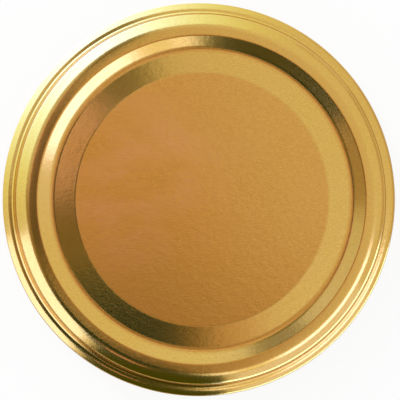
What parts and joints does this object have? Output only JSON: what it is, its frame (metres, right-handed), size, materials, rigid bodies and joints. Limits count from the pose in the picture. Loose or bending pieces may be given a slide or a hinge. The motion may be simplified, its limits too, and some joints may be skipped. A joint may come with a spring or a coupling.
{
  "type": "jar lid",
  "caption": "Round gold-lacquered tinplate jar lid with a flat centre panel, a pressed groove, a rounded crown, an edge curled inwards under a bead, lugs and a sealing ring under the crown.",
  "frame": {"origin": "centre of the circle that the curled edge stands on, at the curl's lowest point", "axes": "+Z is the lid's axis and points out of its top; X and Y pass through the middles of the lugs"},
  "size_m": [0.0698, 0.0698, 0.0098],
  "materials": {
    "gold_lacquered_tinplate": "bright tinplate under a clear gold lacquer, with a fine satin grain from rolling",
    "sealing_compound": "smooth off-white flowed-in sealing compound"
  },
  "bodies": {
    "root": {"shell": "gold_lacquered_tinplate", "sealing_ring": "sealing_compound"}
  },
  "joints": []
}
